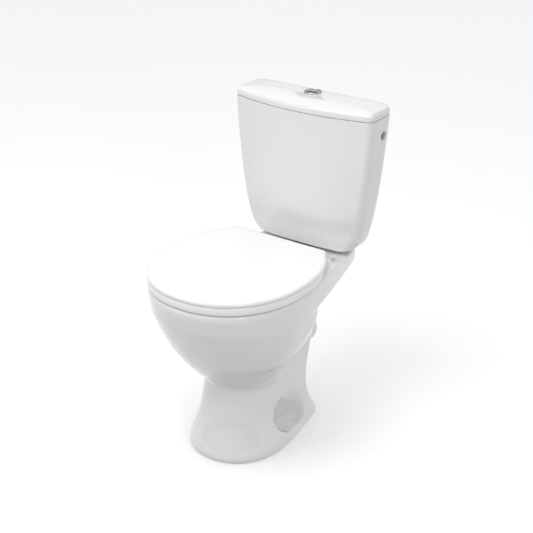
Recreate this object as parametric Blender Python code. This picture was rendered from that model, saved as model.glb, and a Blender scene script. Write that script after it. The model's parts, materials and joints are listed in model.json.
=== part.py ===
"""Close coupled toilet: pan, cistern, hinged seat, dual flush valve, side fill valve and fixings.

Sizes are written in millimetres and become metres where a mesh is made. The front faces -Y, the
cistern is at +Y, +Z is up and the floor is z = 0. Each sub-part is one closed solid.
"""

import math

import bmesh
import bpy
from mathutils import Matrix, Vector

MM = 0.001
GAP = 0.3

# Pan
RIM_TOP = 419.5
SHELF_TOP = 403.0
DECK_SLOPE = (112.0, 168.0)
WIDE_Y = -79.0
SHELF_REAR = 262.0
SPIGOT_Z = 200.0
SPIGOT_END = 194.0
SPIGOT_R = 51.0
TRAP_R = 36.0
FOOT_HOLE = (61.5, 59.5)
FOOT_HOLE_R = 4.5
FLUSH_Y = 222.0
INLET_R = 37.6
INLET_DEPTH = 20.0
CHANNEL_TOP = 386.0

# Seat
SEAT_HALF = 180.0
SEAT_FRONT = -274.0
SEAT_REAR = 103.0
SEAT_REAR_HALF = 128.0
RING_BOTTOM = 421.5
RING_TOP = 441.0
LID_BOTTOM = 442.0
LID_TOP = 453.5
HINGE_X = 77.5
HINGE_Y = 105.0
HINGE_Z = 430.5
PIN_R = 4.0
LUG_R = 8.0

# Cistern
TANK_BOTTOM = 411.0
TANK_TOP = 737.0
TANK_REAR = 274.0
TANK_WALL = 9.0
TANK_FLOOR = 420.0
LID_SEAM = 738.0
LID_HEIGHT = 764.0
INLET_Y = 234.0
INLET_Z = 693.0
SIDE_HOLE_R = 10.0
SHANK_R = 8.3
CISTERN_BOLT_X = 70.0
CISTERN_BOLT_Y = 228.0
BOLT_R = 4.0

# Flush valve and buttons
VALVE_R = 29.0
VALVE_BORE_R = 24.0
BEZEL_R = 20.0
BUTTON_R = 16.6
BUTTON_SPLIT = 4.0
BUTTON_TOP = 767.0
ROD_X = {"full": -9.0, "half": 9.0}
ROD_Y = 212.0
ROD_R = 2.2
ROD_END = 660.6
WEB_TOP = 741.0
SEAT_Z = 433.0
HEAD_Z = 646.0
PIVOT_Y = 223.0
PIVOT_Z = 658.0
LEVER_X = (9.5, 13.5)
NECK_TOP = 663.6

# Fill valve
ARM_PIVOT = (-112.0, 685.0)
FLOAT_CENTRE = (-70.0, 652.0)
FLOAT_R = 16.0

PAN_BOWL = (
    # z, front, widest, rear, half width
    (150, -84, -28, 20, 52),
    (164, -119, -36, 46, 77),
    (173, -135, -38, 62, 88.5),
    (187, -149, -42, 76, 93),
    (206, -169, -47, 98, 102),
    (230, -191, -54, 122, 119),
    (260, -213, -62, 136, 139),
    (290, -231, -68, 140, 154),
    (316, -244, -72, 144, 163),
)
PAN_DECK = (
    # z, front, rear, half width, rear half width, corner
    (334, -252, 150, 167.5, 101, 20),
    (342, -255, 176, 170, 103, 18),
    (349, -258, 208, 172, 104, 17),
    (356, -261, 244, 174, 105, 16),
    (366, -265, 261, 175.5, 107, 15),
    (388, -270, 262, 177, 109, 15),
    (411, -273, 262, 178, 111, 15),
    (417.5, -272, 261, 177, 110, 14),
    (RIM_TOP, -269, 258.5, 174, 107.5, 12),
)
PAN_PEDESTAL = (
    # z, front, widest, rear, half width, rear half width, corner
    (0, -174, -49, 158, 110, 83, 34),
    (5, -177, -49, 161, 112, 85, 36),
    (24, -175, -49, 154, 111, 84, 36),
    (50, -165, -48, 138, 104, 82, 34),
    (80, -152, -46, 127, 97, 79, 32),
    (112, -142, -43, 125, 92, 76, 30),
    (145, -135, -40, 137, 89, 70, 28),
    (171, -130, -38, 150, 85, 66, 26),
    (188, -112, -25, 158, 78, 63, 24),
    (212, -70, 0, 161, 70, 63, 22),
    (240, -20, 40, 160, 75, 71, 22),
    (270, 0, 50, 155, 83, 80, 22),
    (305, 0, 50, 157, 92, 90, 22),
    (340, 0, 50, 162, 95, 94, 20),
)
PAN_CAVITY = (
    # z, front, widest, rear, half width
    (426, -229, -78, 56, 133),
    (CHANNEL_TOP, -229, -78, 56, 133),
    (CHANNEL_TOP - 0.5, -249, -76, 84, 153),
    (350, -245, -74, 86, 153),
    (300, -221, -66, 84, 139),
    (255, -192, -56, 78, 116),
    (218, -152, -38, 72, 86),
    (190, -100, -16, 66, 58),
    (176, -56, 4, 56, 40),
)
PAN_HOLLOW = (
    # z, front, widest, rear, half width, rear half width, corner
    (-6, -163, -49, 147, 98, 71, 30),
    (24, -161, -49, 141, 97, 70, 30),
    (60, -148, -47, 121, 88, 67, 28),
    (100, -128, -44, 112, 78, 62, 26),
    (136, -98, -36, 96, 62, 50, 24),
)
FOOT_SCOOP = (
    # z, middle x, half x, middle y, half y
    (14, 66, 16, 40, 26),
    (20, 75, 28, 32, 44),
    (34, 86, 32, 24, 56),
    (60, 95, 30, 14, 66),
    (90, 101, 24, 8, 66),
    (118, 104, 18, 5, 54),
    (136, 106, 14, 5, 40),
)
FOOT_SKIRT = (
    # z, middle x, half x, middle y, half y
    (8, 128, 17, 38, 38),
    (14, 124, 25, 38, 50),
    (20, 126, 38, 38, 58),
    (28, 128, 45, 38, 61),
    (60, 130, 44, 38, 57),
    (90, 131, 37, 38, 46),
    (112, 132, 28, 38, 34),
)
TANK_SHAPE = (
    # z, front, half width, bow, front corner, rear corner
    (TANK_BOTTOM, 181.5, 116, 8, 22, 40),
    (414, 177.5, 124, 10, 22, 42),
    (TANK_FLOOR, 174.5, 133, 13, 24, 44),
    (436, 170, 145, 17, 24, 44),
    (460, 166, 153, 20, 24, 44),
    (500, 161, 161, 22, 24, 42),
    (560, 157, 169, 24, 21, 38),
    (640, 153, 176.5, 26, 19, 34),
    (700, 151, 181, 27, 18, 32),
    (TANK_TOP, 150, 183, 28, 18, 30),
)
CISTERN_LID_SHAPE = (
    # z, inset from the top outline of the tank
    (LID_SEAM, 1.0),
    (LID_SEAM + 2, 0.0),
    (746, 0.4),
    (752, 2.6),
    (757, 9.0),
)
CISTERN_LID_DOME = (
    # z, share of the last outline above
    (759.6, 0.86),
    (761.8, 0.70),
    (763.4, 0.45),
    (LID_HEIGHT, 0.20),
)


# ---------------------------------------------------------------- helpers


def clear_scene():
    for item in list(bpy.data.objects):
        bpy.data.objects.remove(item)


def principled(name, colour, roughness, metallic=0.0):
    material = bpy.data.materials.new(name)
    material.use_nodes = True
    shader = material.node_tree.nodes["Principled BSDF"]
    shader.inputs["Base Color"].default_value = (*colour, 1.0)
    shader.inputs["Roughness"].default_value = roughness
    shader.inputs["Metallic"].default_value = metallic
    return material


def add(name, bm, origin=(0, 0, 0), smooth=30.0):
    """Make an object from a bmesh in millimetres, with its own origin also in millimetres."""
    bmesh.ops.recalc_face_normals(bm, faces=bm.faces)
    bmesh.ops.translate(bm, verts=bm.verts, vec=-Vector(origin))
    bmesh.ops.scale(bm, verts=bm.verts, vec=(MM, MM, MM))
    mesh = bpy.data.meshes.new(name)
    bm.to_mesh(mesh)
    bm.free()
    mesh.shade_smooth()
    mesh.set_sharp_from_angle(angle=math.radians(smooth))
    item = bpy.data.objects.new(name, mesh)
    item.location = Vector(origin) * MM
    bpy.context.scene.collection.objects.link(item)
    return item


def paint(item, material):
    item.data.materials.clear()
    item.data.materials.append(material)
    return item


def combine(body, other, operation):
    """Boolean one object with another, keep the result as the mesh and drop the tool."""
    bpy.context.view_layer.update()
    step = body.modifiers.new(operation.lower(), "BOOLEAN")
    step.operation = operation
    step.solver = "EXACT"
    step.object = other
    graph = bpy.context.evaluated_depsgraph_get()
    mesh = bpy.data.meshes.new_from_object(body.evaluated_get(graph))
    body.modifiers.clear()
    body.data = mesh
    bpy.data.objects.remove(other)
    return body


def cut(body, *tools):
    for tool in tools:
        combine(body, tool, "DIFFERENCE")
    return body


def join(body, *others):
    for other in others:
        combine(body, other, "UNION")
    return body


def loft(loops, ring=False):
    """Skin loops of equal length. The ends are capped, or joined to each other for a ring."""
    bm = bmesh.new()
    rows = [[bm.verts.new(point) for point in loop] for loop in loops]
    pairs = list(zip(rows, rows[1:] + rows[:1])) if ring else list(zip(rows, rows[1:]))
    for low, high in pairs:
        for i in range(len(low)):
            j = (i + 1) % len(low)
            bm.faces.new((low[i], low[j], high[j], high[i]))
    if not ring:
        bm.faces.new(rows[0][::-1])
        bm.faces.new(rows[-1])
    return bm


def circle(radius, z, segments, centre=(0, 0)):
    turn = 2 * math.pi / segments
    return [
        (centre[0] + radius * math.cos(i * turn), centre[1] + radius * math.sin(i * turn), z)
        for i in range(segments)
    ]


def turned(name, profile, centre, along="Z", segments=20, ring=False, origin=None):
    """Turn (radius, height) points about an axis through centre that runs along X, Y or Z."""
    bm = loft([circle(radius, height, segments) for radius, height in profile], ring)
    turn = {"X": Matrix.Rotation(math.pi / 2, 3, "Y"), "Y": Matrix.Rotation(-math.pi / 2, 3, "X")}
    if along in turn:
        bmesh.ops.rotate(bm, verts=bm.verts, matrix=turn[along])
    bmesh.ops.translate(bm, verts=bm.verts, vec=centre)
    return add(name, bm, origin or centre)


def washer(name, inner, outer, low, high, centre, along="Z", segments=20, origin=None):
    profile = [(inner, low), (outer, low), (outer, high), (inner, high)]
    return turned(name, profile, centre, along, segments, True, origin)


def rod(name, radius, low, high, centre, along="Z", segments=20, origin=None):
    return turned(name, [(radius, low), (radius, high)], centre, along, segments, False, origin)


def block(name, low, high, origin=None):
    corners = [(low[0], low[1]), (high[0], low[1]), (high[0], high[1]), (low[0], high[1])]
    bm = loft([[(x, y, low[2]) for x, y in corners], [(x, y, high[2]) for x, y in corners]])
    return add(name, bm, origin or low)


def side_prism(name, outline, low, high, origin=(0, 0, 0)):
    """Extrude a (y, z) outline along X from low to high."""
    bm = loft([[(low, y, z) for y, z in outline], [(high, y, z) for y, z in outline]])
    return add(name, bm, origin)


def spread(points, count):
    """Space count points evenly along an open line of points."""
    steps = [math.dist(a, b) for a, b in zip(points, points[1:])]
    total = sum(steps)
    result = [points[0]]
    index, passed = 0, 0.0
    for k in range(1, count - 1):
        goal = total * k / (count - 1)
        while passed + steps[index] < goal:
            passed += steps[index]
            index += 1
        part = (goal - passed) / steps[index]
        a, b = points[index], points[index + 1]
        result.append((a[0] + part * (b[0] - a[0]), a[1] + part * (b[1] - a[1])))
    result.append(points[-1])
    return result


def mirrored(right, z, count):
    """Close a right half outline, front centre to rear centre, with its mirror image."""
    half = spread(right, count // 2 + 1)
    left = [(-x, y) for x, y in half[-2:0:-1]]
    return [(x, y, z) for x, y in half + left]


def d_outline(z, front, wide, rear, half, rear_half, corner, taper=2.2, power=2.1, count=36):
    """A rounded front, sides that draw in towards the rear and a straight back edge."""
    points = []
    for i in range(25):
        t = math.radians(90) * i / 24
        x = half * math.sin(t) ** (2 / power)
        y = wide - (wide - front) * math.cos(t) ** (2 / power)
        points.append((x, y))
    run = rear - corner - wide
    for i in range(1, 17):
        s = i / 16
        points.append((half - (half - rear_half) * s**taper, wide + run * s))
    for i in range(1, 9):
        t = math.radians(90) * i / 8
        x = rear_half - corner + corner * math.cos(t)
        points.append((x, rear - corner + corner * math.sin(t)))
    points.append((0, rear))
    return mirrored(points, z, count)


def egg(z, front, wide, rear, half, count=36, power=2.1):
    points = []
    for i in range(49):
        t = math.pi * i / 48
        reach = (wide - front) if t < math.pi / 2 else (rear - wide)
        x = half * math.sin(t) ** (2 / power) if 0 < i < 48 else 0.0
        y = wide - math.copysign(abs(math.cos(t)) ** (2 / power), math.cos(t)) * reach
        points.append((x, y))
    return mirrored(points, z, count)


def tank_outline(z, front, half, bow, front_corner, rear_corner, inset=0.0, count=36):
    """A bowed front, rounded corners and a straight back."""
    half = half - inset
    front = front + inset
    rear = TANK_REAR - inset
    front_corner = max(front_corner - inset, 5.0)
    rear_corner = max(rear_corner - inset, 5.0)
    points = []
    flat = half - front_corner
    for i in range(17):
        x = flat * i / 16
        points.append((x, front + bow * (x / half) ** 2))
    edge = points[-1][1] + front_corner
    for i in range(1, 9):
        t = math.radians(90) * i / 8
        x = flat + front_corner * math.sin(t)
        points.append((x, edge - front_corner * math.cos(t)))
    for i in range(0, 9):
        t = math.radians(90) * i / 8
        x = half - rear_corner + rear_corner * math.cos(t)
        points.append((x, rear - rear_corner + rear_corner * math.sin(t)))
    points.append((0, rear))
    return mirrored(points, z, count)


def tube(name, path, radius, sides=16, origin=(0, 0, 0)):
    """Sweep a round section along a path in the YZ plane or in space, with capped ends."""
    path = [Vector(point) for point in path]
    loops = []
    for i, point in enumerate(path):
        ahead = (path[min(i + 1, len(path) - 1)] - path[max(i - 1, 0)]).normalized()
        side = Vector((1, 0, 0)) if abs(ahead.x) < 0.9 else Vector((0, 1, 0))
        up = ahead.cross(side).normalized()
        side = up.cross(ahead).normalized()
        turn = 2 * math.pi / sides
        loops.append(
            [
                point + radius * (math.cos(k * turn) * side + math.sin(k * turn) * up)
                for k in range(sides)
            ]
        )
    return add(name, loft(loops), origin)


def smooth_path(points, steps):
    """A curve through the points, by Catmull and Rom."""
    points = [Vector(point) for point in points]
    padded = [2 * points[0] - points[1], *points, 2 * points[-1] - points[-2]]
    path = []
    for a, b, c, d in zip(padded, padded[1:], padded[2:], padded[3:]):
        for k in range(steps):
            t = k / steps
            path.append(
                0.5 * (2 * b + (c - a) * t + (2 * a - 5 * b + 4 * c - d) * t * t
                       + (3 * b - a - 3 * c + d) * t**3)
            )
    path.append(points[-1])
    return path


# ---------------------------------------------------------------- pan


def pan_body():
    deck = [
        d_outline(z, front, WIDE_Y, rear, half, rear_half, corner, 1.35)
        for z, front, rear, half, rear_half, corner in PAN_DECK
    ]
    body = add("pan", loft([egg(*station) for station in PAN_BOWL] + deck))
    pedestal = add(
        "pedestal", loft([d_outline(*station, 1.6, 2.15) for station in PAN_PEDESTAL])
    )
    spigot = rod("spigot", SPIGOT_R, 110, SPIGOT_END, (0, 0, SPIGOT_Z), "Y", 24)
    return join(body, pedestal, spigot)


def pan_deck_step():
    start, end = DECK_SLOPE
    outline = [
        (start, RIM_TOP), (end, SHELF_TOP), (SHELF_REAR + 20, SHELF_TOP),
        (SHELF_REAR + 20, RIM_TOP + 20), (start, RIM_TOP + 20),
    ]
    return side_prism("deck_step", outline, -200, 200)


def pan_trap():
    route = [(0, 10, 196), (0, 52, 206), (0, 92, 229), (0, 126, 219), (0, 152, 202), (0, 176, 200)]
    passage = tube("passage", smooth_path(route, 3), TRAP_R, 16)
    outlet = rod("outlet", SPIGOT_R - 8, 166, SPIGOT_END + 10, (0, 0, SPIGOT_Z), "Y", 24)
    return passage, outlet


def pan_flush_way():
    recess = rod("recess", INLET_R, SHELF_TOP - INLET_DEPTH, 430, (0, FLUSH_Y, 0), "Z", 32)
    well = rod("well", 24, 372, 400, (0, FLUSH_Y, 0), "Z", 24)
    duct = rod("duct", 14, 62, FLUSH_Y, (0, 0, 374), "Y", 20)
    return recess, well, duct


def ovals(side, rows, grow=0.0):
    """Skin ovals given as height, middle x, half x, middle y and half y."""
    loops = []
    for z, x, half_x, y, half_y in rows:
        loops.append([
            (side * x + (half_x + grow) * math.cos(t), y + (half_y + grow) * math.sin(t), z)
            for t in (2 * math.pi * i / 20 for i in range(20))
        ])
    return add("ovals", loft(loops))


def foot_pad(side):
    """The solid kept round a foot scoop, where the pedestal is not hollow."""
    low, high = FOOT_SCOOP[0], FOOT_SCOOP[-1]
    rows = [(-12, *low[1:]), *FOOT_SCOOP, (high[0] + 11, *high[1:])]
    return ovals(side, rows, 11.0)


def pan_hollow():
    hollow = add("hollow", loft([d_outline(*station, 1.6, 2.15) for station in PAN_HOLLOW]))
    for side in (1, -1):
        cut(hollow, foot_pad(side))
    return hollow


def make_pan(material):
    pan = pan_body()
    cut(pan, pan_deck_step(), pan_hollow())
    cut(pan, add("cavity", loft([egg(*station) for station in PAN_CAVITY])))
    cut(pan, *pan_trap(), *pan_flush_way())
    for side in (1, -1):
        cut(pan, ovals(side, FOOT_SCOOP), ovals(side, FOOT_SKIRT))
        x, y = side * FOOT_HOLE[0], FOOT_HOLE[1]
        cut(pan, rod("floor_hole", FOOT_HOLE_R, -8, 40, (x, y, 0), "Z", 16))
        cut(pan, rod("seat_hole", 7.8, RIM_TOP - 46, 440, (side * HINGE_X, HINGE_Y, 0), "Z", 20))
        x, y = side * CISTERN_BOLT_X, CISTERN_BOLT_Y
        cut(pan, rod("bolt_hole", 6.0, 330, 430, (x, y, 0), "Z", 20))
        cut(pan, rod("nut_recess", 17.0, 320, 378, (x, y, 0), "Z", 24))
    return paint(pan, material)


# ---------------------------------------------------------------- seat


def hinge_lug(name, low_x, high_x, arm):
    """A round eye on the hinge axis with an arm to the seat, given as (y, z) points."""
    eye = rod(name, LUG_R, low_x, high_x, (0, HINGE_Y, HINGE_Z), "X", 20)
    join(eye, side_prism("arm", arm, low_x, high_x))
    return eye


def lug_bore(low_x, high_x):
    return rod("bore", PIN_R + GAP, low_x, high_x, (0, HINGE_Y, HINGE_Z), "X", 16)


def both_ends(side, low, high):
    return (low, high) if side > 0 else (-high, -low)


def seat_outline(z, inset, rear=SEAT_REAR, front=SEAT_FRONT, half=SEAT_HALF):
    corner = max(11 - inset, 4)
    return d_outline(
        z, front + inset, WIDE_Y, rear - inset, half - inset, SEAT_REAR_HALF - inset, corner, 2.6
    )


def make_seat_ring(material):
    hinge = (0, HINGE_Y, HINGE_Z)
    rear = SEAT_REAR - 8.5
    outer = [
        seat_outline(z, inset, rear)
        for z, inset in (
            (RING_BOTTOM, 3.0), (RING_BOTTOM + 2, 1.2), (RING_BOTTOM + 9, 0.8),
            (RING_TOP - 4, 1.5), (RING_TOP - 1, 4.0), (RING_TOP, 9.0),
        )
    ]
    inner = [
        egg(z, -222 - grow, WIDE_Y, 44 + grow, 122 + grow)
        for z, grow in (
            (RING_TOP, 9), (RING_TOP - 2.5, 3), (RING_TOP - 8, 0), (RING_BOTTOM + 3, 2),
            (RING_BOTTOM, 5),
        )
    ]
    ring = add("seat_ring", loft(outer + inner, ring=True), hinge)
    for x, y in buffer_spots():
        cut(ring, rod("pocket", 8.3, RING_BOTTOM - 5, RING_BOTTOM + 3, (x, y, 0), "Z", 16))
    for side in (1, -1):
        low, high = both_ends(side, HINGE_X + 9.3, HINGE_X + 21)
        arm = [
            (rear - 3, RING_BOTTOM + 2), (HINGE_Y, HINGE_Z - LUG_R + 1),
            (HINGE_Y, HINGE_Z + LUG_R - 1), (rear - 3, RING_TOP - 4),
        ]
        join(ring, hinge_lug("ring_lug", low, high, arm))
        cut(ring, lug_bore(low - 2, high + 2))
    return paint(ring, material)


def make_seat_lid(material):
    hinge = (0, HINGE_Y, HINGE_Z)
    lid = add(
        "seat_lid",
        loft([
            seat_outline(z, inset)
            for z, inset in (
                (LID_BOTTOM, 1.0), (LID_BOTTOM + 1.5, 0.0), (LID_TOP - 6, 0.5),
                (LID_TOP - 3, 2.2), (LID_TOP - 1, 6.0), (LID_TOP, 14.0),
            )
        ]),
        hinge,
    )
    cut(lid, add("under", loft([seat_outline(z, 7.0) for z in (LID_BOTTOM - 4, LID_TOP - 5)])))
    edge = SEAT_REAR
    for side in (1, -1):
        low, high = both_ends(side, HINGE_X - 21, HINGE_X - 9.3)
        arm = [
            (edge - 6, LID_BOTTOM + 0.4), (HINGE_Y - LUG_R + 1, HINGE_Z),
            (HINGE_Y + LUG_R - 1.4, HINGE_Z + 3), (edge - 1, LID_BOTTOM + 6),
            (edge - 6, LID_BOTTOM + 6),
        ]
        join(lid, hinge_lug("lid_lug", low, high, arm))
        cut(lid, lug_bore(low - 2, high + 2))
    return paint(lid, material)


def buffer_spots():
    return [(side * x, y) for x, y in ((105.0, -205.0), (150.0, 8.0)) for side in (1, -1)]


def lid_buffer_spots():
    return [(side * 96.0, -212.0) for side in (1, -1)]


def make_buffers(material):
    for i, (x, y) in enumerate(buffer_spots()):
        profile = [(6.0, -1.7), (7.6, -0.6), (7.6, 2.7)]
        item = turned(f"ring_buffer_{i + 1}", profile, (x, y, RING_BOTTOM), "Z", 16)
        paint(item, material)
    for i, (x, y) in enumerate(lid_buffer_spots()):
        profile = [(5.0, RING_TOP + GAP), (6.5, RING_TOP + 1.5), (6.5, LID_TOP - 5 - GAP)]
        item = turned(f"lid_buffer_{i + 1}", profile, (x, y, 0), "Z", 16)
        paint(item, material)


def make_hinges(plastic, steel, rubber, brass):
    for side, word in ((1, "right"), (-1, "left")):
        x = side * HINGE_X
        base = turned(
            f"hinge_post_{word}",
            [(12.6, RIM_TOP + GAP), (12.6, RIM_TOP + 1.2), (11.6, RIM_TOP + 2.2)],
            (x, HINGE_Y, 0), "Z", 20,
        )
        low, high = x - 9, x + 9
        cheek = [
            (HINGE_Y - 7, RIM_TOP + 2), (HINGE_Y + 7, RIM_TOP + 2),
            (HINGE_Y + LUG_R, HINGE_Z), (HINGE_Y - LUG_R, HINGE_Z),
        ]
        join(base, side_prism("cheek", cheek, low, high))
        join(base, rod("eye", LUG_R, low, high, (0, HINGE_Y, HINGE_Z), "X", 20))
        cut(base, lug_bore(low - 2, high + 2))
        cut(base, rod("screw_way", 4.6, RIM_TOP - 4, RIM_TOP + 6.8, (x, HINGE_Y, 0), "Z", 20))
        paint(base, plastic)
        pin_ends = (x - 21, x + 21)
        pin = rod(f"hinge_pin_{word}", PIN_R, *pin_ends, (0, HINGE_Y, HINGE_Z), "X", 16)
        paint(pin, steel)
        bolt = turned(
            f"seat_bolt_{word}",
            [(3.0, RIM_TOP - 40), (3.0, RIM_TOP + 3.0), (4.2, RIM_TOP + 3.3), (4.2, RIM_TOP + 6.2)],
            (x, HINGE_Y, 0), "Z", 20,
        )
        paint(bolt, steel)
        profile = [(3.3, RIM_TOP - 28), (7.4, RIM_TOP - 28), (7.4, RIM_TOP), (3.3, RIM_TOP)]
        bush = turned(f"seat_bush_{word}", profile, (x, HINGE_Y, 0), "Z", 20, ring=True)
        paint(bush, rubber)
        nut = washer(
            f"seat_nut_{word}", 3.3, 6.6, RIM_TOP - 36, RIM_TOP - 28.4, (x, HINGE_Y, 0), "Z", 20
        )
        paint(nut, brass)


# ---------------------------------------------------------------- cistern


def make_tank(material):
    tank = add("cistern_tank", loft([tank_outline(*station) for station in TANK_SHAPE]))
    inside = [tank_outline(*row, inset=TANK_WALL) for row in TANK_SHAPE if row[0] >= TANK_FLOOR]
    top = [(x, y, TANK_TOP + 10) for x, y, z in inside[-1]]
    cut(tank, add("inside", loft([*inside, top])))
    cut(tank, rod("valve_hole", VALVE_R + 2.5, 400, 430, (0, FLUSH_Y, 0), "Z", 32))
    for side in (1, -1):
        x, y = side * CISTERN_BOLT_X, CISTERN_BOLT_Y
        cut(tank, rod("bolt_hole", 6.0, 400, 430, (x, y, 0), "Z", 20))
        low, high = both_ends(side, 160, 195)
        cut(tank, rod("side_hole", SIDE_HOLE_R, low, high, (0, INLET_Y, INLET_Z), "X", 24))
    return paint(tank, material)


def lid_outline(z, inset):
    top = TANK_SHAPE[-1]
    return tank_outline(z, top[1] - 1, *top[2:], inset=inset)


def dome_outline(z, share):
    """The top of the lid, drawn in towards the flush button."""
    edge = lid_outline(z, CISTERN_LID_SHAPE[-1][1])
    return [(x * share, FLUSH_Y + (y - FLUSH_Y) * share, z) for x, y, _ in edge]


def make_cistern_lid(material):
    outlines = [lid_outline(z, inset) for z, inset in CISTERN_LID_SHAPE]
    outlines += [dome_outline(z, share) for z, share in CISTERN_LID_DOME]
    lid = add("cistern_lid", loft(outlines))
    skirt = [lid_outline(z, inset) for z, inset in ((726, 12.5), (742, 11.5))]
    join(lid, add("skirt", loft(skirt)))
    hollow = [(720, 17), (744, 17), (753, 26), (756, 46)]
    cut(lid, add("hollow", loft([lid_outline(z, inset) for z, inset in hollow])))
    cut(lid, rod("button_hole", 18.6, 740, 780, (0, FLUSH_Y, 0), "Z", 32))
    return paint(lid, material)


def button_outline(z, side, radius, split):
    """A round button cut straight at the split, to its full or half flush side."""
    start = math.acos(split / radius)
    end = 2 * math.pi - start
    if side > 0:
        start, end = -start, start
    count = 18
    return [
        (radius * math.cos(start + (end - start) * i / count),
         FLUSH_Y + radius * math.sin(start + (end - start) * i / count), z)
        for i in range(count + 1)
    ]


def make_buttons(chrome, plastic, steel):
    centre = (0, FLUSH_Y, 0)
    bezel = turned(
        "button_bezel",
        [
            (17.0, BUTTON_TOP - 1.2), (18.2, BUTTON_TOP), (19.2, BUTTON_TOP - 0.2),
            (BEZEL_R, LID_HEIGHT + GAP), (18.0, LID_HEIGHT + GAP), (18.0, 731), (17.0, 731),
        ],
        centre, "Z", 28, ring=True,
    )
    web = rod("web", 17.5, 738, WEB_TOP, centre, "Z", 32)
    for x in ROD_X.values():
        cut(web, rod("way", 2.6, 730, 750, (x, ROD_Y, 0), "Z", 12))
    join(bezel, web)
    paint(bezel, chrome)
    paint(washer("button_nut", 18.3, 22, 746, 753.4, centre, "Z", 24), plastic)
    for word, side, split in (
        ("full", -1, BUTTON_SPLIT - 0.25),
        ("half", 1, BUTTON_SPLIT + 0.25),
    ):
        top, low = BUTTON_TOP - 0.6, BUTTON_TOP - 9
        loops = [
            button_outline(z, side, radius, split)
            for z, radius in ((low, BUTTON_R), (top - 0.9, BUTTON_R), (top, BUTTON_R - 0.8))
        ]
        paint(add(f"{word}_flush_button", loft(loops), (0, FLUSH_Y, top)), chrome)
        x = ROD_X[word]
        stem = rod(f"{word}_flush_rod", ROD_R, ROD_END, low - GAP, (x, ROD_Y, 0), "Z", 10)
        paint(stem, plastic)
        paint(make_spring(f"{word}_flush_spring", x, WEB_TOP + 0.4, low - 0.4), steel)


def make_spring(name, x, low, high):
    turns, wire, radius = 3, 0.4, 2.95
    steps = turns * 10
    path = []
    for i in range(steps + 1):
        angle = 2 * math.pi * turns * i / steps
        z = low + wire + (high - low - 2 * wire) * i / steps
        path.append((x + radius * math.cos(angle), ROD_Y + radius * math.sin(angle), z))
    return tube(name, path, wire, 4, (x, ROD_Y, low))


# ---------------------------------------------------------------- flush valve


def make_valve_seat(plastic, rubber):
    centre = (0, FLUSH_Y, 0)
    base = turned(
        "flush_valve_base",
        [
            (VALVE_BORE_R, 386), (VALVE_R, 386), (VALVE_R, TANK_FLOOR + 2.6),
            (35, TANK_FLOOR + 2.6), (35, TANK_FLOOR + 7), (27, TANK_FLOOR + 7),
            (27, SEAT_Z), (VALVE_BORE_R, SEAT_Z),
        ],
        centre, "Z", 24, ring=True,
    )
    paint(base, plastic)
    low, high = TANK_FLOOR + GAP, TANK_FLOOR + 2.3
    paint(washer("valve_washer", 29.6, 34.6, low, high, centre, "Z", 24), rubber)
    nut = washer("valve_backnut", VALVE_R + GAP, 35.5, 397, TANK_BOTTOM - 0.4, centre, "Z", 24)
    paint(nut, plastic)
    gasket = turned(
        "tank_gasket",
        [
            (36.2, SHELF_TOP + GAP), (39.2, SHELF_TOP + GAP), (40, SHELF_TOP + 3),
            (39.2, TANK_BOTTOM - GAP), (36.2, TANK_BOTTOM - GAP),
        ],
        centre, "Z", 24, ring=True,
    )
    paint(gasket, rubber)


def make_valve_cage(plastic):
    centre = (0, FLUSH_Y, 0)
    cage = washer("valve_cage", 30, 34, 500, HEAD_Z - GAP, centre, "Z", 24)
    for i in range(4):
        angle = math.radians(45 + 90 * i)
        x, y = 32 * math.cos(angle), FLUSH_Y + 32 * math.sin(angle)
        join(cage, rod("leg", 3.2, TANK_FLOOR + 7.3, 503, (x, y, 0), "Z", 8))
    for low, high in ((515, 560), (580, 625)):
        cut(
            cage,
            block("slot", (-40, FLUSH_Y - 12, low), (40, FLUSH_Y + 12, high)),
            block("slot", (-12, FLUSH_Y - 40, low), (12, FLUSH_Y + 40, high)),
        )
    paint(cage, plastic)
    head = washer("valve_head", 10, 34, HEAD_Z, HEAD_Z + 3, centre, "Z", 24)
    for side in (1, -1):
        low, high = both_ends(side, LEVER_X[1] + 0.8, LEVER_X[1] + 4.5)
        ear = block("ear", (low, PIVOT_Y - 4, HEAD_Z + 2), (high, PIVOT_Y + 4, PIVOT_Z + 4))
        join(head, ear)
        cut(head, rod("bore", 1.8, low - 1, high + 1, (0, PIVOT_Y, PIVOT_Z), "X", 12))
    paint(head, plastic)


def make_overflow(tinted, rubber, plastic):
    centre = (0, FLUSH_Y, 0)
    tube_body = turned(
        "overflow_tube",
        [
            (10, SEAT_Z + 4), (26.5, SEAT_Z + 4), (26.5, SEAT_Z + 8), (13, SEAT_Z + 11),
            (13, 626), (8, 630), (8, NECK_TOP), (5, NECK_TOP), (5, 629), (10, 625),
        ],
        centre, "Z", 20, ring=True,
    )
    tab = block("tab", (-15, PIVOT_Y + 5, NECK_TOP - 3), (2, PIVOT_Y + 18, NECK_TOP))
    join(tube_body, tab)
    paint(tube_body, tinted)
    paint(washer("flush_seal", 12, 26.5, SEAT_Z + GAP, SEAT_Z + 3.7, centre, "Z", 24), rubber)
    paint(washer("flush_float", 13.4, 27, 540, 575, centre, "Z", 20), plastic)


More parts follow.
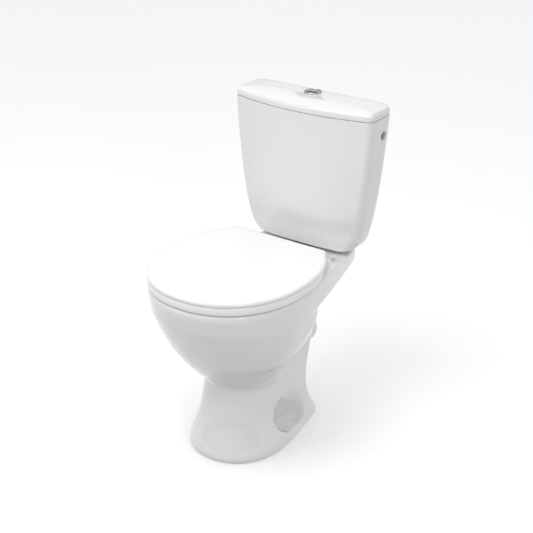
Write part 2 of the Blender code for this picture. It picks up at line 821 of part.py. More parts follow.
def make_rockers(plastic, steel):
    """Levers under the rods, each on its own pin. The full flush one lifts the overflow tube."""
    for word, side, reach in (("full", -1, 16), ("half", 1, 8)):
        low, high = both_ends(side, *LEVER_X)
        pivot = ((low + high) / 2, PIVOT_Y, PIVOT_Z)
        lever = rod(f"{word}_flush_rocker", 4.0, low, high, (0, PIVOT_Y, PIVOT_Z), "X", 16)
        arm = block("arm", (low, ROD_Y - 1.8, PIVOT_Z - 2), (high, PIVOT_Y + reach, PIVOT_Z + 2))
        join(lever, arm)
        cut(lever, rod("bore", 1.8, low - 1, high + 1, (0, PIVOT_Y, PIVOT_Z), "X", 12))
        paint(set_origin(lever, pivot), plastic)
        low, high = both_ends(side, LEVER_X[0] - 0.5, LEVER_X[1] + 5)
        pin = rod(f"{word}_rocker_pin", 1.5, low, high, (0, PIVOT_Y, PIVOT_Z), "X", 12)
        paint(pin, steel)


def set_origin(item, point):
    """Move an object's origin, in millimetres, and leave its shape where it is."""
    shift = Vector(point) * MM - item.location
    item.data.transform(Matrix.Translation(-shift))
    item.location = Vector(point) * MM
    return item


# ---------------------------------------------------------------- fill valve


def make_fill_valve(plastic, tinted, rubber, brass, steel):
    line = (0, INLET_Y, INLET_Z)
    body = turned(
        "fill_valve_body",
        [
            (SHANK_R, -190), (SHANK_R, -167), (12.5, -167), (12.5, -163), (10.5, -163),
            (10.5, -123.5),
        ],
        line, "X", 24,
    )
    for side in (-1, 1):
        y = INLET_Y + side * 6.5
        cheek = block("cheek", (-130, y - 1.8, ARM_PIVOT[1] - 5), (ARM_PIVOT[0] + 5, y + 1.8, 699))
        join(body, cheek)
    join(body, rod("spout", 4.0, 672, 690, (-142, INLET_Y, 0), "Z", 16))
    cut(body, rod("inlet_bore", 5.5, -196, -150, line, "X", 16))
    cut(body, rod("plunger_bore", 3.2, -136, -116, line, "X", 16))
    pivot = (0, INLET_Y, 0)
    axis = (ARM_PIVOT[0], INLET_Y, ARM_PIVOT[1])
    cut(body, rod("pivot_bore", 2.3, -15, 15, axis, "Y", 12))
    paint(body, brass)
    paint(washer("fill_valve_washer", SHANK_R + GAP, 12.4, -169.4, -167.3, line, "X", 20), rubber)
    paint(washer("fill_valve_backnut", SHANK_R + 1.7, 14.5, -187.5, -182.2, line, "X", 6), brass)
    hose = washer("fill_silencer_tube", 4.3, 6, 492, 681.5, (-142, INLET_Y, 0), "Z", 14)
    paint(hose, plastic)
    plunger = rod("inlet_plunger", 2.6, -131, -117.4, line, "X", 12)
    paint(plunger, plastic)
    paint(rod("float_arm_pin", 2.0, -10, 10, axis, "Y", 12), steel)
    make_float(pivot, axis, plastic, tinted, brass)


def make_float(pivot, axis, plastic, tinted, brass):
    x, z = ARM_PIVOT
    arm = rod("float_arm", 6.0, -4.2, 4.2, axis, "Y", 16)
    end_x, end_z = FLOAT_CENTRE[0], FLOAT_CENTRE[1] + FLOAT_R + GAP
    outline = [
        (x - 2, z - 4), (end_x - 14, end_z), (end_x + 10, end_z), (end_x + 10, end_z + 4),
        (end_x - 12, end_z + 4), (x + 3, z + 4.5),
    ]
    join(arm, long_prism("blade", outline, INLET_Y - 4.2, INLET_Y + 4.2))
    nose = [(x - 5, z - 2), (x + 2, z - 2), (x + 2, z + 12), (x - 4.8, z + 12)]
    join(arm, long_prism("nose", nose, INLET_Y - 2.4, INLET_Y + 2.4))
    cut(arm, rod("bore", 2.3, -8, 8, axis, "Y", 12))
    cut(arm, rod("screw_way", 2.4, 600, 700, (end_x, INLET_Y, 0), "Z", 12))
    paint(arm, plastic)
    centre = (FLOAT_CENTRE[0], 0, FLOAT_CENTRE[1])
    profile = [(11, 215), (FLOAT_R, 219), (FLOAT_R, 253), (11, 257)]
    ball = turned("inlet_float", profile, centre, "Y", 20)
    cut(ball, rod("screw_way", 2.4, 600, 700, (end_x, INLET_Y, 0), "Z", 12))
    paint(ball, tinted)
    head = end_z + 4 + GAP
    profile = [(1.9, head - 26), (1.9, head), (4, head), (4, head + 3)]
    paint(turned("float_screw", profile, (end_x, INLET_Y, 0), "Z", 12), brass)


def long_prism(name, outline, low, high):
    """Extrude an (x, z) outline along Y from low to high."""
    bm = loft([[(x, low, z) for x, z in outline], [(x, high, z) for x, z in outline]])
    return add(name, bm)


# ---------------------------------------------------------------- cistern fixings


def make_cistern_fixings(steel, rubber):
    for side, word in ((1, "right"), (-1, "left")):
        spot = (side * CISTERN_BOLT_X, CISTERN_BOLT_Y, 0)
        top = TANK_FLOOR + 3.6
        profile = [(BOLT_R, 358), (BOLT_R, top), (8.5, top), (8.5, top + 3.5), (6.5, top + 5.5)]
        paint(turned(f"cistern_bolt_{word}", profile, spot, "Z", 16), steel)
        low, high = TANK_FLOOR + GAP, TANK_FLOOR + 3.3
        seal = washer(f"bolt_seal_{word}", BOLT_R + GAP, 11, low, high, spot, "Z", 16)
        paint(seal, rubber)
        plate = washer(f"bolt_washer_{word}", BOLT_R + GAP, 12, 375.6, 377.6, spot, "Z", 16)
        paint(plate, steel)
        nut = rod(f"wing_nut_{word}", 7.0, 366, 375.2, spot, "Z", 16)
        for turn in (1, -1):
            x = spot[0] + turn * 10
            wing = block("wing", (x - 5, spot[1] - 1.4, 362), (x + 5, spot[1] + 1.4, 374))
            join(nut, wing)
        cut(nut, rod("bore", BOLT_R + GAP, 355, 380, spot, "Z", 16))
        paint(nut, steel)


def build():
    clear_scene()
    glaze = principled("white glazed ceramic", (0.86, 0.87, 0.88), 0.08)
    seat = principled("white seat plastic", (0.93, 0.93, 0.94), 0.14)
    chrome = principled("chrome", (0.78, 0.79, 0.80), 0.12, 1.0)
    steel = principled("stainless steel", (0.62, 0.62, 0.63), 0.3, 1.0)
    brass = principled("brass", (0.75, 0.58, 0.28), 0.32, 1.0)
    rubber = principled("black rubber", (0.03, 0.03, 0.03), 0.7)
    white = principled("white moulded plastic", (0.85, 0.86, 0.87), 0.35)
    tinted = principled("blue moulded plastic", (0.18, 0.42, 0.66), 0.35)
    make_pan(glaze)
    make_tank(glaze)
    make_cistern_lid(glaze)
    make_seat_ring(seat)
    make_seat_lid(seat)
    make_buffers(rubber)
    make_hinges(white, steel, rubber, brass)
    make_buttons(chrome, white, steel)
    make_valve_seat(white, rubber)
    make_valve_cage(white)
    make_overflow(tinted, rubber, white)
    make_rockers(white, steel)
    make_fill_valve(white, tinted, rubber, brass, steel)
    make_cistern_fixings(steel, rubber)


build()
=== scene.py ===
"""Close coupled toilet: pan, cistern, hinged seat, flush buttons, inner works and a plain studio.

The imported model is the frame. Shapes are worked out in millimetres and become metres in the mesh.
The front faces -Y, the cistern is at +Y, +Z is up and the floor is z = 0.
"""

import json
import math

import bmesh
import bpy
import numpy as np
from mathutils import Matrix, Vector


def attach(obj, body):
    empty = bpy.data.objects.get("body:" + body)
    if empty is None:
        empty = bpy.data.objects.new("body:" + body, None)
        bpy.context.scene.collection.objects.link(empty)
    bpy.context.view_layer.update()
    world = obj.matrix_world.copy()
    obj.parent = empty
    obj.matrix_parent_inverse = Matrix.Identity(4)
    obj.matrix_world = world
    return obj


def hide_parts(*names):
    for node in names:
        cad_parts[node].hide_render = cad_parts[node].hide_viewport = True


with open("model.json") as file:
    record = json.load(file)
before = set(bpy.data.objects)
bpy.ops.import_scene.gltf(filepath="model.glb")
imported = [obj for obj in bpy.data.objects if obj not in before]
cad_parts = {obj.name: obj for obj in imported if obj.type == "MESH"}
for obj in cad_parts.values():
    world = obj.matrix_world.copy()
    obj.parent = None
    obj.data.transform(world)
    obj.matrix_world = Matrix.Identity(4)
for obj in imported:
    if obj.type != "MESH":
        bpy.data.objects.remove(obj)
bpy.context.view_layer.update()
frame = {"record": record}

bl_info = {
    "name": "Close coupled toilet",
    "version": (1, 0, 0),
    "blender": (4, 5, 0),
    "location": "View3D > Sidebar > Toilet",
    "description": "Builds a close coupled toilet piece by piece round its packed frame",
    "category": "Add Mesh",
}

MM = 0.001
CIRCLE = 2 * math.pi

# Outline stations, from the bottom up
BOWL = (
    # z, front, widest, rear, half width
    (150, -84, -28, 20, 52),
    (164, -119, -36, 46, 77),
    (173, -135, -38, 62, 88.5),
    (187, -149, -42, 76, 93),
    (206, -169, -47, 98, 102),
    (230, -191, -54, 122, 119),
    (260, -213, -62, 136, 139),
    (290, -231, -68, 140, 154),
    (316, -244, -72, 144, 163),
)
DECK = (
    # z, front, rear, half width, rear half width, corner
    (334, -252, 150, 167.5, 101, 20),
    (342, -255, 176, 170, 103, 18),
    (349, -258, 208, 172, 104, 17),
    (356, -261, 244, 174, 105, 16),
    (366, -265, 261, 175.5, 107, 15),
    (388, -270, 262, 177, 109, 15),
    (411, -273, 262, 178, 111, 15),
    (417.5, -272, 261, 177, 110, 14),
    (419.5, -269, 258.5, 174, 107.5, 12),
)
PEDESTAL = (
    # z, front, widest, rear, half width, rear half width, corner
    (0, -174, -49, 158, 110, 83, 34),
    (5, -177, -49, 161, 112, 85, 36),
    (24, -175, -49, 154, 111, 84, 36),
    (50, -165, -48, 138, 104, 82, 34),
    (80, -152, -46, 127, 97, 79, 32),
    (112, -142, -43, 125, 92, 76, 30),
    (145, -135, -40, 137, 89, 70, 28),
    (171, -130, -38, 150, 85, 66, 26),
    (188, -112, -25, 158, 78, 63, 24),
    (212, -70, 0, 161, 70, 63, 22),
    (240, -20, 40, 160, 75, 71, 22),
    (270, 0, 50, 155, 83, 80, 22),
    (305, 0, 50, 157, 92, 90, 22),
    (340, 0, 50, 162, 95, 94, 20),
)
CAVITY = (
    # z, front, widest, rear, half width
    (432, -229, -78, 56, 133),
    (386, -229, -78, 56, 133),
    (385.5, -249, -76, 84, 153),
    (350, -245, -74, 86, 153),
    (300, -221, -66, 84, 139),
    (255, -192, -56, 78, 116),
    (218, -152, -38, 72, 86),
    (190, -100, -16, 66, 58),
    (176, -56, 4, 56, 40),
)
FOOT_HOLLOW = (
    # z, front, widest, rear, half width, rear half width, corner
    (-6, -163, -49, 147, 98, 71, 30),
    (24, -161, -49, 141, 97, 70, 30),
    (60, -148, -47, 121, 88, 67, 28),
    (100, -128, -44, 112, 78, 62, 26),
    (136, -98, -36, 96, 62, 50, 24),
)
FOOT_SCOOP = (
    # z, middle x, half x, middle y, half y
    (14, 66, 16, 40, 26),
    (20, 75, 28, 32, 44),
    (34, 86, 32, 24, 56),
    (60, 95, 30, 14, 66),
    (90, 101, 24, 8, 66),
    (118, 104, 18, 5, 54),
    (136, 106, 14, 5, 40),
)
FOOT_SKIRT = (
    # z, middle x, half x, middle y, half y
    (8, 128, 17, 38, 38),
    (14, 124, 25, 38, 50),
    (20, 126, 38, 38, 58),
    (28, 128, 45, 38, 61),
    (60, 130, 44, 38, 57),
    (90, 131, 37, 38, 46),
    (112, 132, 28, 38, 34),
)
TANK = (
    # z, front, half width, bow, front corner, rear corner
    (411, 181.5, 116, 8, 22, 40),
    (414, 177.5, 124, 10, 22, 42),
    (420, 174.5, 133, 13, 24, 44),
    (436, 170, 145, 17, 24, 44),
    (460, 166, 153, 20, 24, 44),
    (500, 161, 161, 22, 24, 42),
    (560, 157, 169, 24, 21, 38),
    (640, 153, 176.5, 26, 19, 34),
    (700, 151, 181, 27, 18, 32),
    (737, 150, 183, 28, 18, 30),
)
TANK_REAR = 274.0
COVER_EDGE = (
    # z, inset from the tank's top outline
    (738, 1.8),
    (738.8, 0.7),
    (740, 0.4),
    (745, 0.4),
    (749, 0.9),
    (753, 3.2),
    (757, 9.0),
)
COVER_DOME = (
    # z, share of the last outline above
    (759.6, 0.86),
    (761.8, 0.70),
    (763.4, 0.45),
    (764, 0.20),
)
HINGE = (105.0, 430.5)
HINGE_X = 77.5
HINGE_BORE_R = 4.3
HINGE_EYE_R = 8.0
FLUSH_Y = 222.0
SEAT_WIDE_Y = -79.0
RING_REAR = 94.5
LID_REAR = 103.0
RING_PAD_SPOTS = [(side * x, y) for x, y in ((105.0, -205.0), (150.0, 8.0)) for side in (1, -1)]
TANK_BOLT = (70, 228)
FLOOR_SCREW = (61.5, 59.5)
SPIGOT_Z = 200
SIDE_HOLE = (234, 693)

# Studio, in metres and watts
SKY = (
    # height of the sky, brightness
    (0.0, 0.43),
    (0.04, 0.6),
    (0.3, 0.72),
    (1.0, 0.95),
)
SOFTBOXES = (
    # name, place, aim, size, power
    ("top_box", (-0.3, -0.9, 2.6), (0, 0, 0.4), (1.2, 1.2), 18),
    ("left_box", (-1.6, -2.2, 1.5), (0, 0, 0.4), (1.0, 1.6), 5),
    ("right_box", (1.7, -1.2, 1.2), (0, 0.05, 0.2), (0.35, 0.35), 5),
)
CARD_SPOT = (-0.158, 0.441, 0.896)
CARD_AIM = (0, 0.222, 0.766)
CAMERA_TURN = 35.89
CAMERA_RISE = 25.69
CAMERA_REACH = 2.7968
CAMERA_AIM = (0, -0.024, 0.380)


# ---------------------------------------------------------------- materials


class Sum:
    """One shader socket. Python's own signs add the Math nodes."""

    def __init__(self, kit, socket):
        self.kit = kit
        self.socket = socket

    def math(self, operation, *others):
        return self.kit.node("ShaderNodeMath", {"operation": operation}, [self, *others])

    def __add__(self, other):
        return self.math("ADD", other)

    def __mul__(self, other):
        return self.math("MULTIPLY", other)


class Finish:
    """A material with its shader, and the nodes that are added to it."""

    def __init__(self, name, colour, roughness, **fixed):
        self.material = bpy.data.materials.new(name)
        self.material.use_nodes = True
        self.tree = self.material.node_tree
        self.shader = self.tree.nodes["Principled BSDF"]
        self.shader.inputs["Base Color"].default_value = (*colour, 1.0)
        self.shader.inputs["Roughness"].default_value = roughness
        for socket, value in fixed.items():
            self.shader.inputs[socket.replace("_", " ")].default_value = value
        self.place = self.node("ShaderNodeTexCoord", {}, {}, "Object")

    def node(self, kind, settings, sockets, out=0):
        item = self.tree.nodes.new(kind)
        for key, value in settings.items():
            setattr(item, key, value)
        pairs = sockets.items() if isinstance(sockets, dict) else enumerate(sockets)
        for key, value in pairs:
            if isinstance(value, Sum):
                self.tree.links.new(value.socket, item.inputs[key])
            else:
                item.inputs[key].default_value = value
        return Sum(self, item.outputs[out])

    def noise(self, size_mm, detail=2.0, roughness=0.5):
        sockets = {
            "Vector": self.place, "Scale": 1000.0 / size_mm, "Detail": detail,
            "Roughness": roughness,
        }
        return self.node("ShaderNodeTexNoise", {}, sockets)

    def blend(self, share, low, high):
        sockets = {0: share, 6: (*low, 1.0), 7: (*high, 1.0)}
        return self.node("ShaderNodeMix", {"data_type": "RGBA"}, sockets, 2)

    def set(self, socket, value):
        self.tree.links.new(value.socket, self.shader.inputs[socket])

    def relief(self, height, depth_mm):
        sockets = {"Strength": 1.0, "Distance": depth_mm * MM, "Height": height}
        self.set("Normal", self.node("ShaderNodeBump", {}, sockets))


def glaze():
    """Fired white glaze: deep gloss, a trace of waviness and slightly thinner colour in places."""
    look = Finish(
        "white glaze", (0.80, 0.803, 0.807), 0.07, Coat_Weight=0.6, Coat_Roughness=0.03, IOR=1.52
    )
    wave = look.noise(70, 1.0)
    fine = look.noise(9, 2.0)
    look.set("Base Color", look.blend(wave, (0.785, 0.788, 0.793), (0.815, 0.817, 0.82)))
    look.set("Roughness", fine * 0.03 + 0.06)
    look.relief(wave * 0.8 + fine * 0.05, 0.5)
    return look.material


def seat_plastic():
    """White thermoset seat: gloss with a very fine moulded grain."""
    look = Finish("white seat moulding", (0.9, 0.9, 0.905), 0.16, Coat_Weight=0.25, IOR=1.5)
    broad = look.noise(60, 1.0)
    fine = look.noise(1.6, 2.0)
    look.set("Base Color", look.blend(broad, (0.89, 0.893, 0.90), (0.915, 0.915, 0.915)))
    look.set("Roughness", fine * 0.06 + 0.13)
    look.relief(broad * 0.5 + fine * 0.02, 0.4)
    return look.material


def chrome():
    """Polished plate with faint hairlines and a hint of fingerprints."""
    look = Finish("polished chrome", (0.50, 0.51, 0.53), 0.1, Metallic=1.0)
    smear = look.noise(14, 3.0)
    hair = look.noise(0.8, 2.0)
    look.set("Base Color", look.blend(smear, (0.46, 0.47, 0.49), (0.55, 0.56, 0.57)))
    look.set("Roughness", smear * 0.06 + hair * 0.03 + 0.03)
    look.relief(hair, 0.004)
    return look.material


def steel():
    look = Finish("stainless steel", (0.60, 0.60, 0.61), 0.3, Metallic=1.0)
    drawn = look.noise(1.2, 3.0)
    stain = look.noise(12, 3.0)
    look.set("Base Color", look.blend(stain, (0.52, 0.52, 0.53), (0.68, 0.68, 0.68)))
    look.set("Roughness", drawn * 0.18 + 0.2)
    look.relief(drawn, 0.02)
    return look.material


def brass():
    look = Finish("machined brass", (0.74, 0.56, 0.26), 0.3, Metallic=1.0)
    turned_grain = look.noise(1.0, 3.0)
    tarnish = look.noise(11, 4.0)
    look.set("Base Color", look.blend(tarnish, (0.55, 0.38, 0.17), (0.82, 0.64, 0.32)))
    look.set("Roughness", tarnish * 0.2 + turned_grain * 0.08 + 0.16)
    look.relief(turned_grain, 0.02)
    return look.material


def rubber():
    look = Finish("black rubber", (0.03, 0.03, 0.03), 0.7)
    grain = look.noise(0.9, 3.0)
    bloom = look.noise(15, 3.0)
    look.set("Base Color", look.blend(bloom, (0.02, 0.02, 0.021), (0.055, 0.054, 0.052)))
    look.set("Roughness", bloom * 0.2 + 0.55)
    look.relief(grain, 0.05)
    return look.material


def moulded(name, low, high):
    """Injection moulded plastic with a soft sheen, a fine pebble and a little flow variation."""
    look = Finish(name, low, 0.35, Coat_Weight=0.08)
    pebble = look.noise(0.8, 2.0)
    flow = look.noise(24, 2.0)
    look.set("Base Color", look.blend(flow, low, high))
    look.set("Roughness", pebble * 0.12 + 0.27)
    look.relief(pebble, 0.02)
    return look.material


# ---------------------------------------------------------------- outlines


def spread(points, count):
    """Space count points evenly along an open line of points."""
    points = np.array(points, float)
    steps = np.linalg.norm(np.diff(points, axis=0), axis=1)
    passed = np.concatenate([[0.0], np.cumsum(steps)])
    goal = np.linspace(0.0, passed[-1], count)
    return np.column_stack([np.interp(goal, passed, points[:, i]) for i in range(2)])


def mirrored(right, z, count):
    """Close a right half outline, front centre to rear centre, with its mirror image."""
    half = spread(right, count // 2 + 1)
    left = half[-2:0:-1] * (-1, 1)
    flat = np.vstack([half, left])
    return np.column_stack([flat, np.full(len(flat), float(z))])


def d_outline(z, front, wide, rear, half, rear_half, corner, taper=2.2, power=2.1, count=160):
    """A rounded front, sides that draw in towards the rear and a straight back edge."""
    points = []
    for i in range(61):
        t = math.radians(90) * i / 60
        x = half * math.sin(t) ** (2 / power)
        points.append((x, wide - (wide - front) * math.cos(t) ** (2 / power)))
    run = rear - corner - wide
    for i in range(1, 41):
        s = i / 40
        points.append((half - (half - rear_half) * s**taper, wide + run * s))
    for i in range(1, 17):
        t = math.radians(90) * i / 16
        x = rear_half - corner + corner * math.cos(t)
        points.append((x, rear - corner + corner * math.sin(t)))
    points.append((0, rear))
    return mirrored(points, z, count)


def egg(z, front, wide, rear, half, count=160, power=2.1):
    points = []
    for i in range(121):
        t = math.pi * i / 120
        reach = (wide - front) if t < math.pi / 2 else (rear - wide)
        x = half * math.sin(t) ** (2 / power) if 0 < i < 120 else 0.0
        y = wide - math.copysign(abs(math.cos(t)) ** (2 / power), math.cos(t)) * reach
        points.append((x, y))
    return mirrored(points, z, count)


def tank_outline(z, front, half, bow, front_corner, rear_corner, inset=0.0, count=160):
    """A bowed front, rounded corners and a straight back."""
    half = half - inset
    front = front + inset
    rear = TANK_REAR - inset
    front_corner = max(front_corner - inset, 5.0)
    rear_corner = max(rear_corner - inset, 5.0)
    flat = half - front_corner
    points = [(flat * i / 40, front + bow * (flat * i / 40 / half) ** 2) for i in range(41)]
    lean = math.atan(2 * bow * flat / half**2)
    edge = points[-1][1]
    centre = (flat, edge + front_corner * math.cos(lean))
    for i in range(1, 17):
        t = -math.pi / 2 + lean + (math.pi / 2 - lean) * i / 16
        points.append((centre[0] + front_corner * math.cos(t), centre[1] + front_corner * math.sin(t)))
    for i in range(17):
        t = math.radians(90) * i / 16
        x = half - rear_corner + rear_corner * math.cos(t)
        points.append((x, rear - rear_corner + rear_corner * math.sin(t)))
    points.append((0, rear))
    return mirrored(points, z, count)


def seat_outline(z, inset, rear, half=180.0):
    corner = max(11 - inset, 4)
    return d_outline(
        z, -274 + inset, SEAT_WIDE_Y, rear - inset, half - inset, 128 - inset, corner, 2.6
    )


def shrunk(loop, share, centre, z):
    """The same outline drawn in towards a centre, at another height."""
    flat = (loop[:, :2] - centre) * share + centre
    return np.column_stack([flat, np.full(len(flat), float(z))])


def filled_in(loops, steps):
    """Add loops between the given ones on smooth curves through their points."""
    loops = [np.array(loop, float) for loop in loops]
    heights = [loop[0][2] for loop in loops]
    gaps = [b - a for a, b in zip(heights, heights[1:])]
    slopes = [(b - a) / gap for a, b, gap in zip(loops, loops[1:], gaps)]
    tangents = [slopes[0]]
    for i in range(1, len(slopes)):
        before, after = abs(gaps[i - 1]), abs(gaps[i])
        tangents.append((slopes[i - 1] * after + slopes[i] * before) / (before + after))
    tangents.append(slopes[-1])
    result = []
    for i, gap in enumerate(gaps):
        for k in range(steps):
            t = k / steps
            result.append(
                (2 * t**3 - 3 * t**2 + 1) * loops[i]
                + (t**3 - 2 * t**2 + t) * gap * tangents[i]
                + (3 * t**2 - 2 * t**3) * loops[i + 1]
                + (t**3 - t**2) * gap * tangents[i + 1]
            )
    result.append(loops[-1])
    return result


# ---------------------------------------------------------------- making by hand


def rest():
    if bpy.context.object and bpy.context.object.mode != "OBJECT":
        bpy.ops.object.mode_set(mode="OBJECT")
    bpy.ops.object.select_all(action="DESELECT")


def pick(*pieces):
    rest()
    for piece in pieces:
        piece.select_set(True)
    bpy.context.view_layer.objects.active = pieces[0]


def named(name):
    """The object just added, with its name and its mesh's name."""
    piece = bpy.context.object
    piece.name = name
    piece.data.name = name
    return piece


def skin(name, loops, ring=False):
    """A closed surface over outline loops, with its ends capped or joined for a ring."""
    bm = bmesh.new()
    rows = [[bm.verts.new(Vector(point) * MM) for point in loop] for loop in loops]
    pairs = list(zip(rows, rows[1:] + rows[:1])) if ring else list(zip(rows, rows[1:]))
    for low, high in pairs:
        for i in range(len(low)):
            j = (i + 1) % len(low)
            bm.faces.new((low[i], low[j], high[j], high[i]))
    if not ring:
        bm.faces.new(rows[0][::-1])
        bm.faces.new(rows[-1])
    if bm.calc_volume(signed=True) < 0:
        bmesh.ops.reverse_faces(bm, faces=bm.faces)
    mesh = bpy.data.meshes.new(name)
    bm.to_mesh(mesh)
    bm.free()
    piece = bpy.data.objects.new(name, mesh)
    bpy.context.scene.collection.objects.link(piece)
    return piece


def turned(name, profile, centre=(0, 0, 0), along="Z", steps=64, closed=True):
    """Spin a (radius, height) line of points into a turned piece."""
    rest()
    mesh = bpy.data.meshes.new(name)
    line = [(radius * MM, 0, height * MM) for radius, height in profile]
    edges = [(i, i + 1) for i in range(len(line) - 1)]
    if closed:
        edges.append((len(line) - 1, 0))
    mesh.from_pydata(line, edges, [])
    piece = bpy.data.objects.new(name, mesh)
    bpy.context.scene.collection.objects.link(piece)
    pick(piece)
    bpy.ops.object.mode_set(mode="EDIT")
    bpy.ops.mesh.select_all(action="SELECT")
    bpy.ops.mesh.spin(steps=steps, angle=CIRCLE, center=(0, 0, 0), axis=(0, 0, 1))
    bpy.ops.mesh.select_all(action="SELECT")
    bpy.ops.mesh.remove_doubles(threshold=1e-6)
    bpy.ops.mesh.normals_make_consistent(inside=False)
    bpy.ops.object.mode_set(mode="OBJECT")
    turn = {"X": (0, math.pi / 2, 0), "Y": (-math.pi / 2, 0, 0)}
    piece.rotation_euler = turn.get(along, (0, 0, 0))
    piece.location = Vector(centre) * MM
    fixed_in_place(piece)
    return piece


def fixed_in_place(piece):
    pick(piece)
    bpy.ops.object.transform_apply(location=True, rotation=True, scale=True)


def rod(name, radius, low, high, centre, along="Z", sides=48):
    """A plain cylinder between two heights along an axis."""
    rest()
    middle = Vector(centre)
    middle["XYZ".index(along)] += (low + high) / 2
    turn = {"X": (0, math.pi / 2, 0), "Y": (-math.pi / 2, 0, 0)}.get(along, (0, 0, 0))
    bpy.ops.mesh.primitive_cylinder_add(
        vertices=sides, radius=radius * MM, depth=(high - low) * MM, location=middle * MM, rotation=turn
    )
    piece = named(name)
    fixed_in_place(piece)
    return piece


def prism(name, outline, low, high):
    """Extrude a (y, z) outline along X."""
    loops = [[(x, y, z) for y, z in outline] for x in (low, high)]
    return skin(name, loops)


def applied(piece, kind, **settings):
    """Add a modifier and apply it."""
    pick(piece)
    step = piece.modifiers.new(kind.lower(), kind)
    for key, value in settings.items():
        setattr(step, key, value)
    bpy.ops.object.modifier_apply(modifier=step.name)
    return piece


def combined(piece, tools, operation):
    for tool in tools:
        applied(piece, "BOOLEAN", operation=operation, solver="MANIFOLD", object=tool)
        bpy.data.objects.remove(tool)
    return piece


def cut(piece, *tools):
    return combined(piece, tools, "DIFFERENCE")


def join(piece, *others):
    return combined(piece, others, "UNION")


def bevelled(piece, width, segments=3, angle=35):
    return applied(
        piece, "BEVEL", width=width * MM, segments=segments, limit_method="ANGLE",
        angle_limit=math.radians(angle), harden_normals=False,
    )


def finished(piece, material, body, slot, *nodes, smooth=35):
    """Clean a piece's mesh and shading, then tie it to its body and CAD nodes; the slot argument is not
    used.
    """
    pick(piece)
    bpy.ops.object.mode_set(mode="EDIT")
    bpy.ops.mesh.select_all(action="SELECT")
    bpy.ops.mesh.remove_doubles(threshold=1e-6)
    bpy.ops.mesh.normals_make_consistent(inside=False)
    bpy.ops.object.mode_set(mode="OBJECT")
    bpy.ops.object.shade_smooth_by_angle(angle=math.radians(smooth))
    piece.data.materials.clear()
    piece.data.materials.append(material)
    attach(piece, body)
    if nodes:
        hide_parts(*nodes)
    return piece


# ---------------------------------------------------------------- settings


class ToiletSizes(bpy.types.PropertyGroup):
    glaze_voxel: bpy.props.FloatProperty(
        name="Glaze softness", description="Grain at which the pan's edges are rounded by glaze",
        default=0.0039, unit="LENGTH",
    )
    cover_hole: bpy.props.FloatProperty(
        name="Button hole", description="Radius of the hole in the cistern lid",
        default=0.0186, unit="LENGTH",
    )
    lid_crown: bpy.props.FloatProperty(
        name="Seat lid crown", description="Rise of the seat lid's middle over its edge",
        default=0.0012, unit="LENGTH",
    )


# ---------------------------------------------------------------- pan


def ovals(name, side, rows, grow=0.0, steps=4):
    """Skin ovals given as height, middle x, half x, middle y and half y."""
    turn = np.linspace(0, CIRCLE, 56, endpoint=False)
    loops = []
    for z, x, half_x, y, half_y in rows:
        across = side * x + (half_x + grow) * np.cos(turn)
        along = y + (half_y + grow) * np.sin(turn)
        loops.append(np.column_stack([across, along, np.full(56, float(z))]))
    return skin(name, filled_in(loops, steps))


def foot_pad(side):
    """The solid kept round a foot scoop, where the pedestal is not hollow."""
    low, high = FOOT_SCOOP[0], FOOT_SCOOP[-1]
    rows = [(-12, *low[1:]), *FOOT_SCOOP, (high[0] + 11, *high[1:])]
    return ovals("foot_pad", side, rows, 11.0, 2)


def faded_band(piece, name, low, high, fade):
    """A vertex group of the points between two heights, fading out at both ends."""
    group = piece.vertex_groups.new(name=name)
    heights = np.empty(len(piece.data.vertices) * 3)
    piece.data.vertices.foreach_get("co", heights)
    heights = heights[2::3] / MM
    weights = np.clip(np.minimum(heights - low, high - heights) / fade, 0.0, 1.0)
    for step in range(1, 11):
        chosen = np.nonzero(np.ceil(weights * 10) == step)[0]
        group.add(chosen.tolist(), step / 10, "REPLACE")


def water_way():
    """The bend that carries waste from the bowl to the outlet, swept along its middle line."""
    route = np.array([(10, 196), (52, 206), (92, 229), (126, 219), (152, 202), (176, 200)], float)
    padded = np.vstack([2 * route[0] - route[1], route, 2 * route[-1] - route[-2]])
    line = []
    for a, b, c, d in zip(padded, padded[1:], padded[2:], padded[3:]):
        for k in range(6):
            t = k / 6
            line.append(0.5 * (2 * b + (c - a) * t + (2 * a - 5 * b + 4 * c - d) * t * t
                               + (3 * b - a - 3 * c + d) * t**3))
    line.append(route[-1])
    loops = []
    turn = np.linspace(0, CIRCLE, 32, endpoint=False)
    for i, point in enumerate(line):
        ahead = line[min(i + 1, len(line) - 1)] - line[max(i - 1, 0)]
        ahead = ahead / np.linalg.norm(ahead)
        across = np.array([-ahead[1], ahead[0]])
        y = point[0] + 36 * np.sin(turn) * across[0]
        z = point[1] + 36 * np.sin(turn) * across[1]
        loops.append(np.column_stack([36 * np.cos(turn), y, z]))
    return skin("water_way", loops)


def pan_shell():
    body = [egg(*station) for station in BOWL]
    for z, front, rear, half, rear_half, corner in DECK:
        body.append(d_outline(z, front, SEAT_WIDE_Y, rear, half, rear_half, corner, 1.35))
    pan = skin("toilet_pan", filled_in(body, 5))
    foot = [d_outline(*station, 1.6, 2.15) for station in PEDESTAL]
    pedestal = skin("pedestal", filled_in(foot, 4))
    spigot = rod("spigot", 51, 110, 194, (0, 0, SPIGOT_Z), "Y")
    return join(pan, pedestal, spigot)


